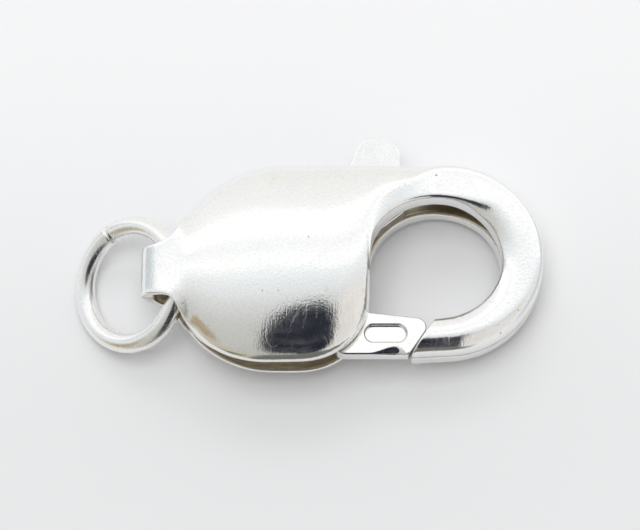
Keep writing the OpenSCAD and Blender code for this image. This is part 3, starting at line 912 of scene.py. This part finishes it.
def silver_colour(n, place, metal, toned, stain, dirt):
    """The metal with a slow drift, a fine grain, its toning and its dirt."""
    drift = n.ranged(n.noise(place, 0.45, 3.0, 0.5), 0.3, 0.7)
    clean = n.tinted(drift, metal, tuple(c * s for c, s in zip(metal, DRIFT_TINT)))
    grain = n.ranged(n.noise(place, 7.0, 3.0, 0.7), 0.42, 0.66, 0.0, 0.5)
    clean = n.tinted(grain, clean, tuple(c * GRAIN_DARK for c in metal))
    colour = n.tinted(n.math("MULTIPLY", stain, STAIN_COVER), clean, toned)
    return n.tinted(n.math("MULTIPLY", dirt, DIRT_COVER), colour, DIRT)


def silver(name, metal, toned, rough, hair, hair_gap, slant, wave, cover, pit_gap, scratch=0.0016,
           shell=False):
    """Sterling silver: its clean and its toned colour and its roughness; depth, spacing and slant
    of the rubbed hairs; depth of the slow waves; cover of the toning; spacing of the pits; depth of
    the scratches. The shell also has its own marks and its seam."""
    m = bpy.data.materials.new(name)
    n, shader = nodes_of(m)
    scaled = n.add("ShaderNodeVectorMath", operation="SCALE")
    place = n.add("ShaderNodeTexCoord").outputs["Object"]
    place = n.fill(scaled, Vector=place, Scale=1 / MM).outputs[0]
    rubbed = placed(n, "rubbed_hair", place, Spacing=hair_gap, Slant=math.radians(slant))
    worn = placed(n, "loose_scratches", place, Spacing=1.9, Share=0.5)
    stain = placed(n, "toning", place, Spacing=2.6, Cover=cover)["Mask"]
    dirt = placed(n, "pits", place, Spacing=pit_gap, Size=0.10)["Mask"]
    if shell:
        own = placed(n, "marks", place)
        stain = n.math("MAXIMUM", stain, own["Stain"])
        dirt = n.most([own["Speck"], placed(n, "seam", place, Reach=0.06)["Mask"], dirt])
    n.fill(shader, Base_Color=silver_colour(n, place, metal, toned, stain, dirt), Metallic=1.0)
    spread = n.noise(place, 1.3, 3.0, 0.6)
    gloss = n.ranged(spread, 0.3, 0.75, *(rough * part for part in GLOSS_SPREAD))
    matt = [(n.math("MAXIMUM", rubbed["Mask"], worn["Mask"]), RUBBED_MATT), (stain, STAIN_MATT)]
    if shell:
        matt.append((own["Dull"], DULL_MATT))
    for mask, more in matt:
        gloss = n.math("ADD", gloss, n.math("MULTIPLY", mask, more))
    gloss = n.math("ADD", gloss, n.math("MULTIPLY", dirt, DIRT_MATT), clamp=True)
    waves = n.noise(place, 0.55, 1.0, 0.4)
    height = n.math("MULTIPLY", rubbed["Height"], hair)
    for source, deep in ((worn["Height"], scratch), (waves, wave), (dirt, PIT_DEEP)):
        height = n.math("ADD", height, n.math("MULTIPLY", source, deep))
    bump = n.fill(n.add("ShaderNodeBump"), Strength=1.0, Distance=MM, Height=height)
    n.fill(shader, Roughness=gloss, Normal=bump.outputs[0])
    return m


BRIGHT, WARM, BROWN = (0.965, 0.96, 0.945), (0.90, 0.86, 0.74), (0.55, 0.47, 0.33)
shell_silver = silver("polished_silver", BRIGHT, WARM, rough=0.13, hair=0.011, hair_gap=0.10, slant=4,
                      wave=0.012, cover=0.30, pit_gap=1.5, scratch=0.0010, shell=True)
inner_silver = silver("inner_silver", (0.72, 0.66, 0.52), BROWN, rough=0.42, hair=0.003,
                      hair_gap=0.07, slant=30, wave=0.01, cover=0.75, pit_gap=0.6)
lever_silver = silver("lever_silver", (0.97, 0.965, 0.95), WARM, rough=0.11, hair=0.003,
                      hair_gap=0.12, slant=12, wave=0.006, cover=0.18, pit_gap=2.0)
# dark edge material: the lever's cut sides that face the hook, in the gaps between the parts, are made
# this dark
edge_silver = silver("dark_edge_silver", (0.27, 0.24, 0.185), (0.24, 0.20, 0.14), rough=0.42,
                     hair=0.003, hair_gap=0.06, slant=90, wave=0.006, cover=0.6, pit_gap=0.8)
ring_silver = silver("ring_silver", (0.96, 0.955, 0.935), (0.86, 0.80, 0.66), rough=0.23, hair=0.003,
                     hair_gap=0.12, slant=62, wave=0.010, cover=0.34, pit_gap=1.8)
pin_silver = silver("pin_silver", (0.85, 0.84, 0.82), BROWN, rough=0.25, hair=0.0015,
                    hair_gap=0.08, slant=90, wave=0.004, cover=0.4, pit_gap=1.2)

# The pieces: each rides on its body and replaces the CAD's plain one
body = finished(shell_mesh(), "clasp_shell", [shell_silver, inner_silver])
lever = lever_object("clasp_lever", [lever_silver, edge_silver])
ring = ring_object("wire_ring", [ring_silver])
for piece, rides_on, node, slot in ((body, "clasp", "body", "body_silver"),
                                    (lever, "lever", "lever", "lever_silver"),
                                    (ring, "ring", "jump_ring", "ring_silver")):
    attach(piece, rides_on)
    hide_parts(node)
pin = frame["nodes"]["pivot_pin"]
pin.data.materials.clear()
pin.data.materials.append(pin_silver)


# Paper, and the cards that the silver mirrors
def plain(name, colour, rough=0.9):
    """A dull material of one colour."""
    m = bpy.data.materials.new(name)
    n, shader = nodes_of(m)
    n.fill(shader, Base_Color=(*colour, 1), Roughness=rough, Specular_IOR_Level=0.2)
    return m


def paper(name):
    """White paper with painted light: a little whiter on the side of the window at the back, darker
    towards the front.
    """
    m = plain(name, (0.85, 0.85, 0.86), 0.85)
    n, shader = nodes_of(m)
    place = n.add("ShaderNodeSeparateXYZ")
    n.join(n.add("ShaderNodeTexCoord").outputs["Object"], place.inputs[0])
    # painted light: the paper's colour grows from the front to the back as the window's light falls off
    away = n.ranged(place.outputs["Y"], -0.012, 0.018)
    n.join(n.tinted(away, (0.795, 0.797, 0.81), (0.885, 0.885, 0.90)), shader.inputs["Base Color"])
    return m


def dark_cloth(name):
    """Blue-black cloth with paler folds."""
    m = plain(name, (0.03, 0.033, 0.042))
    n, shader = nodes_of(m)
    place = n.add("ShaderNodeTexCoord").outputs["Object"]
    folds = n.noise(n.stretched(place, (1.0, 1.0, 1.4)), 9.0, 6.0, 0.72)
    shade = n.tinted(n.ranged(folds, 0.47, 0.72), (0.012, 0.016, 0.030), (0.15, 0.15, 0.165))
    n.join(shade, shader.inputs["Base Color"])
    return m


def card(name, outline, material):
    """A flat card that only the silver sees, with its corners in metres."""
    bm = bmesh.new()
    bm.faces.new([bm.verts.new(q) for q in outline])
    ob = finished(bm, name, [material], 0)
    for ray in ("camera", "diffuse", "shadow", "transmission", "volume_scatter"):
        setattr(ob, "visible_" + ray, False)


def direction(forward, side):
    """Unit vector that leans forward from straight up, then to the side."""
    return Vector((sind(side), -sind(forward) * cosd(side), cosd(forward) * cosd(side)))


OVAL_POINTS = 48


def oval_card(name, forward, side, half_forward, half_side, away, material, power=2.6):
    """An oval card in a direction from the clasp, with its half widths as angles."""
    mid = direction(forward, side) * away
    across = Vector((1, 0, 0)) - mid * mid[0] / away ** 2
    across.normalize()
    along = mid.cross(across) / away
    outline = []
    for k in range(OVAL_POINTS):
        c, s = cosd(360 / OVAL_POINTS * k), sind(360 / OVAL_POINTS * k)
        u = math.copysign(abs(c) ** (2 / power), c) * math.tan(math.radians(half_side)) * away
        v = math.copysign(abs(s) ** (2 / power), s) * math.tan(math.radians(half_forward)) * away
        outline.append(mid + across * u + along * v)
    card(name, outline, material)


# Strips that lie on the paper: colour and corners, in metres
STRIP_UP = 0.0003
STRIPS = {
    # painted shadow: a dark strip on the paper in front of the clasp, seen only in the silver, stands for
    # the floor in the clasp's shadow
    "painted_shadow_strip": ((0.15, 0.145, 0.13),
        ((-0.006, -0.013), (-0.06, -0.30), (0.12, -0.30), (0.016, -0.04), (0.013, -0.013))),
    "tan_strip": ((0.52, 0.48, 0.38),
        ((-0.016, -0.012), (-0.60, -0.10), (-0.60, -0.40), (-0.075, -0.40), (-0.0061, -0.013))),
    "brown_scrap": ((0.08, 0.07, 0.065),
        ((-0.0085, -0.014), (-0.014, -0.014), (-0.014, -0.026), (-0.0085, -0.026))),
    # painted shade: a grey-blue strip on the paper right of the clasp, seen only in the silver, stands for
    # the floor in shade there
    "painted_shade_strip": ((0.60, 0.64, 0.69),
        ((0.0165, -0.008), (0.030, -0.008), (0.030, 0.006), (0.0165, 0.006))),
}
# The pale sheet: its distance from its middle line, that line's y and z, its sides and its angles
PALE_AWAY, PALE_Y, PALE_Z = 0.014, -0.005, 0.002
PALE_LEFT, PALE_RIGHT = 0.0121, 0.030
PALE_FROM, PALE_TO, PALE_STEP = 6, 96, 15


def pale_sheet():
    """A pale sheet bent round close to the hook, which hides the sleeve there."""
    material = plain("pale_sheet", (0.97, 0.94, 0.91))
    for low in range(PALE_FROM, PALE_TO, PALE_STEP):
        a, b = direction(low, 0) * PALE_AWAY, direction(low + PALE_STEP, 0) * PALE_AWAY
        sides = (a, PALE_LEFT), (a, PALE_RIGHT), (b, PALE_RIGHT), (b, PALE_LEFT)
        card("pale_sheet_%d" % low, [(x, PALE_Y + q[1], PALE_Z + q[2]) for q, x in sides], material)


oval_card("dark_sleeve", 49, 13, 42, 25, 0.36, dark_cloth("dark_cloth"), 2.3)
for name, (colour, corners) in STRIPS.items():
    card(name, [(x, y, STRIP_UP) for x, y in corners], plain(name, colour))
pale_sheet()
oval_card("tan_board", 72, -62, 16, 14, 0.40, plain("tan_board", (0.50, 0.42, 0.28)))

bpy.ops.mesh.primitive_plane_add(size=3.0, location=(0, 0, 0))
floor = bpy.context.object
floor.name = "paper_floor"
floor.data.materials.append(paper("pale_paper"))

# The room
# Colour of the sky from the front (y = -1) to the back (y = 1)
SKY = ((-1.0, (0.50, 0.50, 0.47)), (-0.6, (0.56, 0.56, 0.53)), (-0.35, (0.59, 0.59, 0.57)),
       (-0.12, (0.69, 0.70, 0.69)), (0.05, (0.80, 0.83, 0.84)), (0.20, (0.90, 0.94, 0.955)),
       (0.262, (1.20, 1.20, 1.20)), (0.285, (1.20, 1.20, 1.20)), (0.33, (0.90, 0.92, 0.93)),
       (0.37, (0.95, 0.97, 0.98)), (0.44, (1.16, 1.16, 1.16)), (0.55, (1.16, 1.16, 1.16)),
       (0.64, (0.97, 0.98, 0.975)), (0.75, (0.94, 0.95, 0.94)), (1.0, (0.90, 0.90, 0.885)))
# Walls beside the clasp: colour, and where each comes in along x and along y
RIGHT_WALL = (0.84, 0.81, 0.75), (0.5, 0.68), (0.1, -0.15)
LEFT_WALL = (0.60, 0.65, 0.67), (-0.79, -0.87), (0.17, 0.27)
DULL_LOSS = 0.35  # paper and other dull things get this much less of the sky


def soft_sky():
    """The sky with a warm wall on the right and a cool one on the left."""
    world = bpy.data.worlds.new("soft_sky")
    bpy.context.scene.world = world
    world.use_nodes = True
    n = Nodes(world.node_tree)
    background = world.node_tree.nodes["Background"]
    way = n.add("ShaderNodeSeparateXYZ")
    n.join(n.add("ShaderNodeTexCoord").outputs["Generated"], way.inputs[0])
    ramp = n.add("ShaderNodeValToRGB")
    ramp.color_ramp.interpolation = "EASE"
    while len(ramp.color_ramp.elements) < len(SKY):
        ramp.color_ramp.elements.new(0.5)
    for element, (y, colour) in zip(ramp.color_ramp.elements, SKY):
        element.position = (y + 1) / 2
        element.color = (*colour, 1)
    n.join(n.math("MULTIPLY_ADD", way.outputs["Y"], 0.5, 0.5), ramp.inputs[0])
    seen = ramp.outputs[0]
    for wall, span_x, span_y in (RIGHT_WALL, LEFT_WALL):
        in_x, in_y = n.ranged(way.outputs["X"], *span_x), n.ranged(way.outputs["Y"], *span_y)
        seen = n.tinted(n.math("MULTIPLY", in_x, in_y), seen, wall)
    n.join(seen, background.inputs["Color"])
    dull = n.add("ShaderNodeLightPath").outputs["Is Diffuse Ray"]
    n.join(n.math("SUBTRACT", 1.0, n.math("MULTIPLY", dull, DULL_LOSS)), background.inputs["Strength"])


def soft_light(name, size, energy, place, aimed=False):
    """A light that the silver doesn't mirror, pointing down or at the clasp."""
    light = bpy.data.lights.new(name, "AREA")
    light.shape = "RECTANGLE"
    light.size, light.size_y = size
    light.energy = energy
    ob = bpy.data.objects.new(name, light)
    bpy.context.scene.collection.objects.link(ob)
    ob.location = place
    if aimed:
        ob.rotation_euler = (Vector() - ob.location).to_track_quat("-Z", "Y").to_euler()
    ob.visible_glossy = False


# The photo: its middle, where the clasp's own origin lies in it, and its scale
PHOTO_W = 640
PHOTO_MID = (320, 265)
ORIGIN_PX = (141, 269)
PX_PER_MM = 16.08
FOCAL_PX = 3216
CAMERA_UP = 72  # height of the view over the middle plane of the clasp
SENSOR = 36


def photo_camera():
    """The camera at the photo's angle to the clasp."""
    data = bpy.data.cameras.new("camera")
    camera = bpy.data.objects.new("camera", data)
    bpy.context.scene.collection.objects.link(camera)
    bpy.context.scene.camera = camera
    x, y = ((mid - at) / PX_PER_MM for mid, at in zip(PHOTO_MID, ORIGIN_PX))
    target = np.array([x, -y / sind(CAMERA_UP), 0])
    toward = np.array([0, -cosd(CAMERA_UP), sind(CAMERA_UP)])
    up = np.array([0, sind(CAMERA_UP), cosd(CAMERA_UP)])
    axes = np.stack([TURN @ np.array([1.0, 0, 0]), TURN @ up, TURN @ toward], 1)
    place = lain([target + FOCAL_PX / PX_PER_MM * toward])[0]
    camera.matrix_world = Matrix([[*axes[r], place[r]] for r in range(3)] + [[0, 0, 0, 1]])
    data.sensor_fit = "HORIZONTAL"
    data.sensor_width = SENSOR
    data.lens = SENSOR * FOCAL_PX / PHOTO_W
    data.clip_start = 0.01
    data.clip_end = 10


soft_sky()
photo_camera()
soft_light("window", (0.30, 0.14), 0.22, (0, 0.28, 0.36), aimed=True)
soft_light("ceiling", (0.6, 0.6), 4.6, (0, 0, 1.0))
bpy.context.scene.view_settings.view_transform = "Standard"
